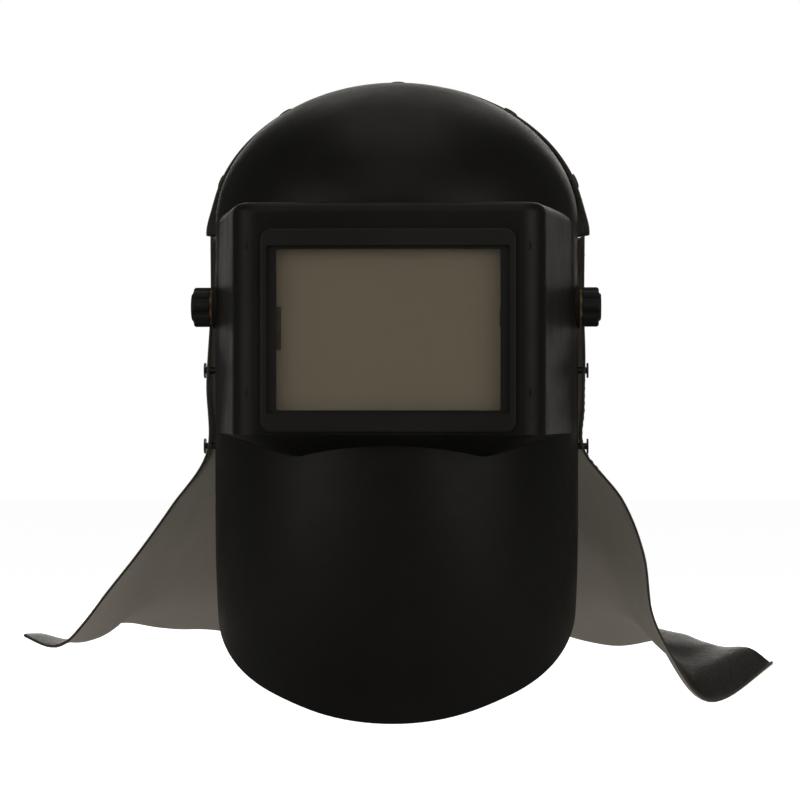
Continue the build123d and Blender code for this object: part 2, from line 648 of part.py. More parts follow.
os.makedirs("parts", exist_ok=True)
build_visor()
build_headgear()
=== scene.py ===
"""A welding helmet with a tilting shell, a ratchet headgear and a leather neck cape, dressed for viewing.

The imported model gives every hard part. This file gives each part its finish, cuts the leather of the cape,
stuffs the pads, sews the seams, and sets up the studio.
"""

from __future__ import annotations

import json
import logging
import math
from dataclasses import dataclass, field
from enum import Enum
from typing import Callable, Iterable, Sequence

import bmesh
import bpy
from mathutils import Matrix, Vector, noise

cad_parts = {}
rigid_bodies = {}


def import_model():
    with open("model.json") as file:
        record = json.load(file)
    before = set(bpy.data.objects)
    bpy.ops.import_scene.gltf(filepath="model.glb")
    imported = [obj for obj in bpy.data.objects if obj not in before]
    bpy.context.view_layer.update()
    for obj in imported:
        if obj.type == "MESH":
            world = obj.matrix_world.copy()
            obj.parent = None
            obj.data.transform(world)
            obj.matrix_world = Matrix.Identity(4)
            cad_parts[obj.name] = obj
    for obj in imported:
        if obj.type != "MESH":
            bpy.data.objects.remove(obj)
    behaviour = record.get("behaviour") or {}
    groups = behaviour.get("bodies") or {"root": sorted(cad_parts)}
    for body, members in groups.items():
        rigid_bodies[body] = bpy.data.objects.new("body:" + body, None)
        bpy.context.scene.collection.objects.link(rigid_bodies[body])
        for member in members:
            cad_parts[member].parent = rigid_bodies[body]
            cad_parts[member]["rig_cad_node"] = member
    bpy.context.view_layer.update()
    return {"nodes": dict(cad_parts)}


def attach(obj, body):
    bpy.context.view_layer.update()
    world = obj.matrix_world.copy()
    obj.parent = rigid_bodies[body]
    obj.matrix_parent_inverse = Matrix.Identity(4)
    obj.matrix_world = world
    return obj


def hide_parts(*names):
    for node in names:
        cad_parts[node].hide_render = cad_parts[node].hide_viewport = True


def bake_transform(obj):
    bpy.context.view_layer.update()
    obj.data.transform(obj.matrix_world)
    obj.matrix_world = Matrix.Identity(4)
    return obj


log = logging.getLogger("welding_helmet")

MM = 0.001
PAD_MAP = "pad_map"
Point = tuple[float, float, float]
Colour = tuple[float, float, float]


class Side(Enum):
    """The wearer's sides, as the sign of X."""

    LEFT = -1
    RIGHT = 1

    @property
    def label(self) -> str:
        """The side's word in a node's name."""
        return self.name.lower()


class Face(Enum):
    """The three faces of a cut sheet of leather, in the order of its material slots."""

    GRAIN = 0
    SUEDE = 1
    CUT_EDGE = 2


# --------------------------------------------------------------------------------------------------------------
# Finishes


def toned(colour: Colour, gain: float, lift: float = 0.0) -> Colour:
    """Makes a colour lighter or darker.

    Args:
        colour: The colour.
        gain: What each channel is multiplied by.
        lift: What is added to each channel after that.

    Returns:
        The new colour.
    """
    return tuple(channel * gain + lift for channel in colour)


class NodeBench:
    """Builds one material's node tree around a Principled shader."""

    # The colour mix has its sockets once for each data type, so they are told apart by place.
    MIX_SHARE, MIX_FIRST, MIX_SECOND, MIX_RESULT = 0, 6, 7, 2

    def __init__(self, name: str) -> None:
        """Starts an empty material.

        Args:
            name: The material's name.
        """
        self.material = bpy.data.materials.new(name)
        self.material.use_nodes = True
        self.tree = self.material.node_tree
        self.shader = self.tree.nodes["Principled BSDF"]
        self.place = self.tree.nodes.new("ShaderNodeTexCoord").outputs["Object"]

    def link(self, source: bpy.types.NodeSocket, target: bpy.types.NodeSocket) -> None:
        """Joins two sockets."""
        self.tree.links.new(source, target)

    def set(self, **values: float | Sequence[float]) -> None:
        """Sets the shader's sockets.

        Args:
            values: Socket names in lower case with underscores, and what each is set to.
        """
        names = {socket.name.lower().replace(" ", "_"): socket for socket in self.shader.inputs}
        for name, value in values.items():
            names[name].default_value = (*value, 1.0) if isinstance(value, tuple) else value

    def stretched(self, turn: Point, size: Point) -> bpy.types.NodeSocket:
        """Object coordinates, turned and stretched.

        Args:
            turn: The turn about each axis, in radians.
            size: The scale along each axis.

        Returns:
            The mapped coordinates.
        """
        node = self.tree.nodes.new("ShaderNodeMapping")
        node.inputs["Rotation"].default_value = turn
        node.inputs["Scale"].default_value = size
        self.link(self.place, node.inputs["Vector"])
        return node.outputs["Vector"]

    def noise(
        self,
        scale: float,
        detail: float = 3.0,
        rough: float = 0.55,
        where: bpy.types.NodeSocket | None = None,
    ) -> bpy.types.NodeSocket:
        """A noise pattern, from 0 to 1.

        Args:
            scale: Cells in a metre.
            detail: Octaves.
            rough: How strong the finer octaves are.
            where: The coordinates, or None for the object's own.

        Returns:
            The pattern's factor.
        """
        node = self.tree.nodes.new("ShaderNodeTexNoise")
        node.inputs["Scale"].default_value = scale
        node.inputs["Detail"].default_value = detail
        node.inputs["Roughness"].default_value = rough
        self.link(where or self.place, node.inputs["Vector"])
        return node.outputs["Fac"]

    def cells(self, scale: float, edges: bool = False) -> bpy.types.NodeSocket:
        """A pattern of pebbled cells.

        Args:
            scale: Cells in a metre.
            edges: Whether the pattern is the distance to the cells' edges.

        Returns:
            The distance.
        """
        node = self.tree.nodes.new("ShaderNodeTexVoronoi")
        node.feature = "DISTANCE_TO_EDGE" if edges else "F1"
        node.inputs["Scale"].default_value = scale
        self.link(self.place, node.inputs["Vector"])
        return node.outputs["Distance"]

    def ranged(
        self,
        source: bpy.types.NodeSocket,
        start: float,
        end: float,
        low: float = 0.0,
        high: float = 1.0,
    ) -> bpy.types.NodeSocket:
        """Maps start to low and end to high, and holds the value outside them.

        Args:
            source: The value.
            start: Where the range starts.
            end: Where it ends.
            low: The result at the start.
            high: The result at the end.

        Returns:
            The mapped value.
        """
        node = self.tree.nodes.new("ShaderNodeMapRange")
        for name, value in zip(("From Min", "From Max", "To Min", "To Max"), (start, end, low, high)):
            node.inputs[name].default_value = value
        self.link(source, node.inputs["Value"])
        return node.outputs["Result"]

    def blend(
        self,
        share: bpy.types.NodeSocket,
        first: Colour | bpy.types.NodeSocket,
        second: Colour | bpy.types.NodeSocket,
    ) -> bpy.types.NodeSocket:
        """Mixes two colours.

        Args:
            share: How much of the second shows.
            first: The first colour.
            second: The second colour.

        Returns:
            The mixed colour.
        """
        node = self.tree.nodes.new("ShaderNodeMix")
        node.data_type = "RGBA"
        self.link(share, node.inputs[self.MIX_SHARE])
        for place, colour in ((self.MIX_FIRST, first), (self.MIX_SECOND, second)):
            socket = node.inputs[place]
            if isinstance(colour, tuple):
                socket.default_value = (*colour, 1.0)
            else:
                self.link(colour, socket)
        return node.outputs[self.MIX_RESULT]

    def relief(self, height: bpy.types.NodeSocket, depth: float, strength: float = 1.0) -> None:
        """Adds a layer of bump on top of any that is there.

        Args:
            height: The height, from 0 to 1.
            depth: What a height of 1 is, in metres.
            strength: The bump's strength.
        """
        node = self.tree.nodes.new("ShaderNodeBump")
        node.inputs["Distance"].default_value = depth
        node.inputs["Strength"].default_value = strength
        self.link(height, node.inputs["Height"])
        normal = self.shader.inputs["Normal"]
        if normal.is_linked:
            self.link(normal.links[0].from_socket, node.inputs["Normal"])
        self.link(node.outputs["Normal"], normal)


@dataclass(frozen=True)
class Moulding:
    """An injection-moulded plastic with a fine spark-eroded grain and light handling marks."""

    name: str
    colour: Colour
    roughness: float = 0.42
    grain: float = 1500.0
    grain_depth: float = 0.00006
    scuffed: float = 0.35
    specular: float = 0.5

    def build(self) -> bpy.types.Material:
        """Returns the finish as a material."""
        bench = NodeBench(self.name)
        bench.set(specular_ior_level=self.specular)
        cloudy = bench.noise(scale=9.0, detail=4.0, rough=0.6)
        paler = toned(self.colour, gain=1.5, lift=0.002)
        base = bench.blend(bench.ranged(cloudy, start=0.42, end=0.75), self.colour, paler)
        streaked = bench.stretched(turn=(0.3, 0.5, 0.2), size=(1.0, 1.0, 9.0))
        rubs = bench.noise(scale=60.0, detail=6.0, rough=0.75, where=streaked)
        worn = bench.ranged(rubs, start=0.62, end=0.78, high=self.scuffed)
        dusty = toned(self.colour, gain=2.4, lift=0.008)
        bench.link(bench.blend(worn, base, dusty), bench.shader.inputs["Base Color"])
        handled = bench.noise(scale=26.0, detail=5.0, rough=0.65)
        glossiest, dullest = self.roughness - 0.05, self.roughness + 0.1
        bench.link(
            bench.ranged(handled, start=0.3, end=0.75, low=glossiest, high=dullest),
            bench.shader.inputs["Roughness"],
        )
        bench.relief(bench.noise(scale=self.grain, detail=2.0, rough=0.5), depth=self.grain_depth)
        flow = bench.noise(scale=35.0, detail=2.0, rough=0.5)
        bench.relief(flow, depth=0.0003, strength=0.6)
        return bench.material


@dataclass(frozen=True)
class Steel:
    """Plated or bare steel with a faint turned or drawn texture."""

    name: str
    colour: Colour
    roughness: float = 0.3
    tarnish: Colour = (0.18, 0.15, 0.12)

    def build(self) -> bpy.types.Material:
        """Returns the finish as a material."""
        bench = NodeBench(self.name)
        bench.set(metallic=1.0)
        most_tarnish = 0.55
        spots = bench.noise(scale=220.0, detail=5.0, rough=0.7)
        dull = bench.ranged(spots, start=0.5, end=0.8, high=most_tarnish)
        bench.link(bench.blend(dull, self.colour, self.tarnish), bench.shader.inputs["Base Color"])
        bench.link(
            bench.ranged(dull, start=0.0, end=most_tarnish, low=self.roughness, high=self.roughness + 0.25),
            bench.shader.inputs["Roughness"],
        )
        drawn_out = bench.stretched(turn=(0.0, 0.0, 0.0), size=(0.15, 1.0, 6.0))
        drawn = bench.noise(scale=300.0, detail=3.0, rough=0.6, where=drawn_out)
        bench.relief(drawn, depth=0.00003)
        return bench.material


@dataclass(frozen=True)
class FilterGlass:
    """The dark welding filter, with the pale bronze-grey reflection of a bright room painted into its base
    colour.
    """

    name: str
    colour: Colour
    deeper: Colour

    def build(self) -> bpy.types.Material:
        """Returns the finish as a material."""
        bench = NodeBench(self.name)
        bench.set(roughness=0.12, ior=1.52, coat_weight=0.4, coat_roughness=0.06)
        faint = bench.noise(scale=5.0, detail=2.0, rough=0.4)
        # Painted reflection: the pale base colour stands in for the room reflected in a dark filter, with a
        # faint random variation.
        bench.link(bench.blend(faint, self.colour, self.deeper), bench.shader.inputs["Base Color"])
        return bench.material


@dataclass(frozen=True)
class ClearPlate:
    """The clear sacrificial plate in front of the filter, and the one behind it, with fine wipe marks."""

    name: str
    tint: Colour

    def build(self) -> bpy.types.Material:
        """Returns the finish as a material."""
        bench = NodeBench(self.name)
        bench.set(base_color=self.tint, transmission_weight=1.0, ior=1.49)
        strokes = bench.stretched(turn=(0.0, 0.35, 0.0), size=(0.3, 1.0, 5.0))
        wiped = bench.noise(scale=90.0, detail=5.0, rough=0.7, where=strokes)
        hazed = bench.ranged(wiped, start=0.5, end=0.85, low=0.03, high=0.08)
        bench.link(hazed, bench.shader.inputs["Roughness"])
        return bench.material


@dataclass(frozen=True)
class GrainLeather:
    """The smooth side of split cowhide: dark, pebbled and creased."""

    name: str
    colour: Colour
    rubbed: Colour

    def build(self) -> bpy.types.Material:
        """Returns the finish as a material."""
        bench = NodeBench(self.name)
        bench.set(specular_ior_level=0.45)
        handled = bench.noise(scale=14.0, detail=5.0, rough=0.65)
        patches = bench.ranged(handled, start=0.4, end=0.75)
        pebbles = bench.ranged(bench.cells(scale=620.0, edges=True), start=0.0, end=0.28)
        base = bench.blend(patches, self.colour, self.rubbed)
        between = toned(self.colour, gain=0.45)
        bench.link(bench.blend(pebbles, between, base), bench.shader.inputs["Base Color"])
        bench.link(
            bench.ranged(patches, start=0.0, end=1.0, low=0.42, high=0.62), bench.shader.inputs["Roughness"]
        )
        hide_pull = bench.stretched(turn=(0.2, 0.1, 0.4), size=(1.0, 0.6, 2.2))
        creases = bench.noise(scale=42.0, detail=5.0, rough=0.6, where=hide_pull)
        bench.relief(creases, depth=0.0012, strength=0.7)
        bench.relief(pebbles, depth=0.00018)
        return bench.material


@dataclass(frozen=True)
class SuedeLeather:
    """The napped side of split cowhide: grey, soft and streaked by the splitting knife."""

    name: str
    colour: Colour
    shade: Colour

    def build(self) -> bpy.types.Material:
        """Returns the finish as a material."""
        bench = NodeBench(self.name)
        bench.set(roughness=0.92, sheen_weight=0.25, sheen_roughness=0.6, specular_ior_level=0.15)
        knife = bench.stretched(turn=(0.1, 0.2, 0.5), size=(1.0, 1.0, 0.35))
        streaks = bench.noise(scale=30.0, detail=5.0, rough=0.65, where=knife)
        nap = bench.noise(scale=1700.0, detail=3.0, rough=0.7)
        base = bench.blend(bench.ranged(streaks, start=0.35, end=0.75), self.colour, self.shade)
        fibre = toned(self.colour, gain=0.72)
        laid_flat = bench.ranged(nap, start=0.35, end=0.7, low=0.45, high=0.0)
        bench.link(bench.blend(laid_flat, base, fibre), bench.shader.inputs["Base Color"])
        bench.relief(streaks, depth=0.0007, strength=0.6)
        bench.relief(nap, depth=0.00022)
        return bench.material


@dataclass(frozen=True)
class PunchedLeather:
    """A thin lining leather with rows of punched breathing holes, or plain foam where the holes are off."""

    name: str
    colour: Colour
    hole: Colour
    pitch: float = 6.0
    hole_radius: float = 0.15
    hole_blur: float = 0.02
    punched: bool = True

    def build(self) -> bpy.types.Material:
        """Returns the finish as a material."""
        bench = NodeBench(self.name)
        bench.set(roughness=0.72, sheen_weight=0.12, sheen_roughness=0.5)
        mottled = bench.noise(scale=110.0, detail=5.0, rough=0.65)
        paler = toned(self.colour, gain=1.35, lift=0.01)
        base = bench.blend(mottled, self.colour, paler)
        if self.punched:
            holes = self._holes(bench)
            bench.link(bench.blend(holes, base, self.hole), bench.shader.inputs["Base Color"])
            bench.relief(bench.cells(scale=900.0, edges=True), depth=0.00012)
            bench.relief(bench.ranged(holes, start=0.0, end=1.0, low=1.0, high=0.0), depth=0.0006)
        else:
            pores = bench.ranged(bench.cells(scale=1300.0), start=0.0, end=0.5)
            bench.link(bench.blend(pores, self.hole, base), bench.shader.inputs["Base Color"])
            bench.relief(pores, depth=0.0004)
        return bench.material

    def _holes(self, bench: NodeBench) -> bpy.types.NodeSocket:
        """Round holes on a grid of the pad's own map.

        Args:
            bench: The material's bench.

        Returns:
            1 in a hole and 0 elsewhere.
        """
        nodes = bench.tree.nodes
        flat = nodes.new("ShaderNodeUVMap")
        flat.uv_map = PAD_MAP
        cell = nodes.new("ShaderNodeVectorMath")
        cell.operation = "MULTIPLY"
        per_metre = 1.0 / (self.pitch * MM)
        cell.inputs[1].default_value = (per_metre, per_metre, 0.0)
        bench.link(flat.outputs["UV"], cell.inputs[0])
        within = nodes.new("ShaderNodeVectorMath")
        within.operation = "FRACTION"
        bench.link(cell.outputs[0], within.inputs[0])
        away = nodes.new("ShaderNodeVectorMath")
        away.operation = "DISTANCE"
        away.inputs[1].default_value = (0.5, 0.5, 0.0)
        bench.link(within.outputs[0], away.inputs[0])
        outside, inside = self.hole_radius + self.hole_blur, self.hole_radius - self.hole_blur
        return bench.ranged(away.outputs["Value"], start=outside, end=inside)


@dataclass(frozen=True)
class Thread:
    """Twisted sewing thread."""

    name: str
    colour: Colour

    def build(self) -> bpy.types.Material:
        """Returns the finish as a material."""
        bench = NodeBench(self.name)
        bench.set(roughness=0.8, sheen_weight=0.3, sheen_roughness=0.4)
        lay = bench.stretched(turn=(0.6, 0.6, 0.0), size=(1.0, 3.0, 1.0))
        twist = bench.noise(scale=2600.0, detail=2.0, rough=0.5, where=lay)
        between = toned(self.colour, gain=0.5)
        bench.link(bench.blend(twist, between, self.colour), bench.shader.inputs["Base Color"])
        bench.relief(twist, depth=0.0002)
        return bench.material


class FinishShelf:
    """Every finish of the helmet, built once."""

    def __init__(self) -> None:
        """Builds the materials."""
        finishes = (
            Moulding("shell_black", (0.0056, 0.0054, 0.0048), roughness=0.44, specular=0.2),
            Moulding("bezel_black", (0.0088, 0.0087, 0.007), roughness=0.5, scuffed=0.4, specular=0.25),
            Moulding("holder_black", (0.012, 0.012, 0.012), roughness=0.5),
            Moulding("headgear_grey", (0.03, 0.031, 0.033), roughness=0.5, grain=1100.0),
            Moulding("knob_black", (0.0065, 0.0065, 0.0058), roughness=0.48, grain=900.0, specular=0.3),
            Moulding("gasket_black", (0.008, 0.008, 0.008), roughness=0.75, grain=2200.0, specular=0.3),
            Moulding("washer_tan", (0.19, 0.105, 0.05), roughness=0.8, grain=2600.0, grain_depth=0.0001),
            Steel("zinc_bright", (0.62, 0.63, 0.64), roughness=0.28),
            Steel("rivet_black", (0.055, 0.053, 0.05), roughness=0.42, tarnish=(0.12, 0.1, 0.08)),
            Steel("spring_bronze", (0.2, 0.155, 0.1), roughness=0.42, tarnish=(0.07, 0.05, 0.035)),
            Steel("brass_turned", (0.62, 0.44, 0.17), roughness=0.28, tarnish=(0.28, 0.18, 0.07)),
            # The filter's pale bronze-grey base colour is a painted reflection of the bright room, not the
            # glass's own tint.
            FilterGlass("filter_bronze", (0.49, 0.42, 0.315), (0.47, 0.4, 0.3)),
            ClearPlate("clear_polycarbonate", (0.97, 0.97, 0.96)),
            GrainLeather("cape_grain", (0.024, 0.0195, 0.0155), (0.046, 0.037, 0.029)),
            SuedeLeather("cape_suede", (0.76, 0.71, 0.63), (0.67, 0.62, 0.54)),
            SuedeLeather("cape_cut_edge", (0.085, 0.072, 0.055), (0.05, 0.042, 0.032)),
            PunchedLeather("sweat_leather", (0.035, 0.03, 0.026), (0.004, 0.004, 0.004)),
            PunchedLeather("nape_foam", (0.05, 0.05, 0.052), (0.012, 0.012, 0.012), punched=False),
            Thread("waxed_thread", (0.13, 0.115, 0.09)),
        )
        self.materials = {finish.name: finish.build() for finish in finishes}

    def dress(self, piece: bpy.types.Object, *names: str) -> None:
        """Gives a piece its finishes.

        Args:
            piece: The object.
            names: One finish for each material slot.
        """
        if "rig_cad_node" in piece:
            piece.material_slots[0].material = self.materials[names[0]]
            return
        piece.data.materials.clear()
        for name in names:
            piece.data.materials.append(self.materials[name])


# --------------------------------------------------------------------------------------------------------------
# Making pieces


def finished(name: str, mesh: bmesh.types.BMesh) -> bpy.types.Object:
    """Turns a bmesh in millimetres into a smooth-shaded object in metres.

    Args:
        name: The object's name.
        mesh: The shape, which is freed.

    Returns:
        The object, at the origin.
    """
    bmesh.ops.scale(mesh, vec=(MM, MM, MM), verts=mesh.verts)
    for face in mesh.faces:
        face.smooth = True
    data = bpy.data.meshes.new(name)
    mesh.to_mesh(data)
    mesh.free()
    piece = bpy.data.objects.new(name, data)
    bpy.context.scene.collection.objects.link(piece)
    return piece


JOIN_WITHIN = 0.005
CRISP_ANGLE = math.radians(32)


def merged_copy(node: bpy.types.Object, name: str) -> bpy.types.Object:
    """Copies a hard part's mesh into a new object, with its loose triangles joined.

    Args:
        node: The part.
        name: The new object's name.

    Returns:
        The copy.
    """
    mesh = bmesh.new()
    mesh.from_mesh(node.data)
    bmesh.ops.scale(mesh, vec=(1 / MM, 1 / MM, 1 / MM), verts=mesh.verts)
    bmesh.ops.remove_doubles(mesh, verts=mesh.verts, dist=JOIN_WITHIN)
    piece = finished(name, mesh)
    piece.modifiers.new("crisp_edges", "EDGE_SPLIT").split_angle = CRISP_ANGLE
    return piece


def eased(value: float, start: float, length: float) -> float:
    """How far a value is along a stretch, from 0 before it to 1 past it."""
    return min(max((value - start) / length, 0.0), 1.0)


class SmoothLine:
    """A smooth line through given points, read by the share of its length."""

    STEPS = 40

    def __init__(self, points: Sequence[Point]) -> None:
        """Rounds the line through the points.

        Args:
            points: What the line passes through, in millimetres.
        """
        marks = [Vector(point) for point in points]
        ends = [2 * marks[0] - marks[1], *marks, 2 * marks[-1] - marks[-2]]
        self.samples = [marks[0]]
        for before, start, end, after in zip(ends, ends[1:], ends[2:], ends[3:]):
            for step in range(1, self.STEPS + 1):
                self.samples.append(self._between(before, start, end, after, step / self.STEPS))
        self.reach = [0.0]
        for near, far in zip(self.samples, self.samples[1:]):
            self.reach.append(self.reach[-1] + (far - near).length)

    @staticmethod
    def _between(before: Vector, start: Vector, end: Vector, after: Vector, share: float) -> Vector:
        """A point of the cubic between start and end."""
        return 0.5 * (
            2 * start
            + (end - before) * share
            + (2 * before - 5 * start + 4 * end - after) * share**2
            + (3 * start - before - 3 * end + after) * share**3
        )

    def at(self, share: float) -> Vector:
        """The point at a share of the whole length, from 0 to 1."""
        target = min(max(share, 0.0), 1.0) * self.reach[-1]
        low, high = 0, len(self.reach) - 1
        while high - low > 1:
            middle = (low + high) // 2
            low, high = (middle, high) if self.reach[middle] <= target else (low, middle)
        span = self.reach[high] - self.reach[low]
        return self.samples[low].lerp(self.samples[high], (target - self.reach[low]) / span)


def bell(value: float, width: float) -> float:
    """A smooth hump of height 1 around 0."""
    return math.exp(-((value / width) ** 2))


@dataclass
class StitchRun:
    """One row of stitches along a line on a surface.

    The line gives a point and its outward normal for each share of the row's length.
    """

    line: Callable[[float], tuple[Vector, Vector]]
    start: float = 0.0
    end: float = 1.0
    pitch: float = 4.6
    length: float = 3.3
    girth: float = 0.42
    stands_out: float = 0.35
    samples: int = 240

    def sew(self, mesh: bmesh.types.BMesh) -> int:
        """Adds the row's stitches.

        Args:
            mesh: What they are added to, in millimetres.

        Returns:
            The number of stitches.
        """
        reach = self.end - self.start
        spots = [self.line(self.start + reach * step / self.samples) for step in range(self.samples + 1)]
        since, count = 0.0, 0
        for (near, _), (far, normal) in zip(spots, spots[1:]):
            since += (far - near).length
            if since < self.pitch:
                continue
            since, count = since - self.pitch, count + 1
            along = (far - near).normalized()
            across = normal.cross(along).normalized()
            up = along.cross(across)
            turned = Matrix((along, across, up)).transposed().to_4x4()
            size = Matrix.Diagonal((self.length / 2, self.girth, self.girth, 1.0))
            place = Matrix.Translation(far + up * self.girth * self.stands_out)
            bmesh.ops.create_uvsphere(
                mesh, u_segments=6, v_segments=4, radius=1.0, matrix=place @ turned @ size
            )
        return count


def sewn(name: str, runs: Iterable[StitchRun]) -> bpy.types.Object:
    """Sews several rows into one piece.

    Args:
        name: The piece's name.
        runs: The rows.

    Returns:
        The thread.
    """
    mesh = bmesh.new()
    count = sum(run.sew(mesh) for run in runs)
    log.info("%s has %d stitches", name, count)
    return finished(name, mesh)


# --------------------------------------------------------------------------------------------------------------
# The cape


@dataclass
class CapeSkirt:
    """The leather that hangs from the shell's sides and round the back of the neck."""

    right_edge: tuple[Point, ...] = (
        (112.8, 20, 44), (112.5, 20, 0), (113, 12, -30), (112.4, 9, -60), (112.8, 9, -87), (136, 11, -117),
        (149, 13, -150), (154, 15, -185), (166, 18, -211), (184, 28, -237), (203, 42, -239), (236, 66, -217),
    )
    left_edge: tuple[Point, ...] = (
        (-112.8, 20, 44), (-112.8, 20, 0), (-114.2, 9, -45), (-114.2, 9, -88), (-136, 11, -121),
        (-157, 13, -150), (-177, 16, -175), (-191, 20, -193), (-204, 28, -206), (-217, 38, -209),
        (-237, 56, -203),
    )
    back_line: tuple[Point, ...] = ((0, 153.5, 44), (0, 160, -50), (0, 173, -150), (0, 187, -214))
    thickness: float = 1.5
    flare: float = 0.6
    columns: int = 150
    rows: int = 72
    flat_width: float = 620.0
    flat_length: float = 285.0
    flat_area: float = 0.1305
    free_from: float = 0.25
    free_power: float = 1.6
    flute_depths: tuple[float, float] = (5.0, 2.6)
    fullness: float = 2.5
    slack: float = 2.2
    creasing: float = 1.1
    hem_cut: float = 0.012
    hem_wander: tuple[float, float] = (0.007, 0.006)
    seam_down: float = 0.03
    lines: dict[str, SmoothLine] = field(init=False)

    def __post_init__(self) -> None:
        """Rounds the three guide lines."""
        self.lines = {
            "right": SmoothLine(self.right_edge),
            "left": SmoothLine(self.left_edge),
            "back": SmoothLine(self.back_line),
        }

    def _hang(self, down: float, across: float) -> Vector:
        """The plain hang of the inner face.

        Args:
            down: 0 at the top edge and 1 at the hem.
            across: -1 at the left front edge and 1 at the right one.

        Returns:
            The point, in millimetres.
        """
        edge = self.lines["right" if across >= 0 else "left"].at(down)
        back = self.lines["back"].at(down)
        turn = abs(across) * math.pi / 2
        opened = 1 + self.flare * down
        return Vector(
            (
                edge.x * math.sin(turn),
                edge.y + (back.y - edge.y) * max(math.cos(turn), 0.0) ** opened,
                back.z + (edge.z - back.z) * math.sin(turn) ** 3,
            )
        )

    def _outward(self, down: float, across: float) -> Vector:
        """The unit normal of the plain hang, away from the neck."""
        step = 0.004
        side_step = self._hang(down, min(across + step, 1.0)) - self._hang(down, max(across - step, -1.0))
        down_step = self._hang(min(down + step, 1.0), across) - self._hang(max(down - step, 0.0), across)
        return side_step.cross(down_step).normalized()

    def _folds(self, down: float, across: float) -> float:
        """How far the leather stands out from its plain hang, in millimetres."""
        free = eased(down, start=self.free_from, length=1.0 - self.free_from) ** self.free_power
        inside = 1.0 - abs(across) ** 8
        wide, narrow = self.flute_depths
        flutes = wide * math.sin(across * 11.0 + 0.7) + narrow * math.sin(across * 23.0 + 2.1)
        slack = self.slack * noise.noise(Vector((across * 5.0, down * 3.2, 4.1)))
        creases = self.creasing * noise.noise(Vector((across * 16.0, down * 6.5, 9.3)))
        below_seam = min(down * 3.0, 1.0)
        return free * inside * (flutes + self.fullness) + (slack + creases) * below_seam * inside

    def on_face(self, down: float, across: float, raised: float = 0.0) -> tuple[Vector, Vector]:
        """A point of the leather.

        Args:
            down: 0 at the top edge and 1 at the hem.
            across: -1 at the left front edge and 1 at the right one.
            raised: How far outside the inner face it is, in millimetres.

        Returns:
            The point and the outward normal.
        """
        normal = self._outward(down, across)
        return self._hang(down, across) + normal * (self._folds(down, across) + raised), normal

    def _ragged(self, across: float) -> float:
        """How far down the cut hem wanders, as a share of the length."""
        swing, waver = self.hem_wander
        wander = swing * math.sin(across * 17.0) + waver * noise.noise(Vector((across * 9.0, 0.4, 1.7)))
        return 1.0 - self.hem_cut + wander * (1.0 - abs(across) ** 10)

    def cut(self) -> bpy.types.Object:
        """Cuts and hangs the sheet.

        Returns:
            The leather, with its thickness.
        """
        mesh = bmesh.new()
        bmesh.ops.create_grid(mesh, x_segments=self.columns, y_segments=self.rows, size=1.0)
        for vert in mesh.verts:
            across, down = vert.co.x, (vert.co.y + 1.0) / 2.0 * self._ragged(vert.co.x)
            vert.co = self.on_face(down, across)[0]
        piece = finished("leather_skirt", mesh)
        return with_leather_faces(piece, self.thickness)


def with_leather_faces(piece: bpy.types.Object, thickness: float) -> bpy.types.Object:
    """Gives a single-sided cut its thickness, with a slot for each face of the leather.

    Args:
        piece: The cut, facing outwards.
        thickness: In millimetres.

    Returns:
        The same piece.
    """
    wall = piece.modifiers.new("thickness", "SOLIDIFY")
    wall.thickness = thickness * MM
    wall.offset = 1.0
    wall.material_offset = Face.SUEDE.value
    wall.material_offset_rim = Face.CUT_EDGE.value
    return piece


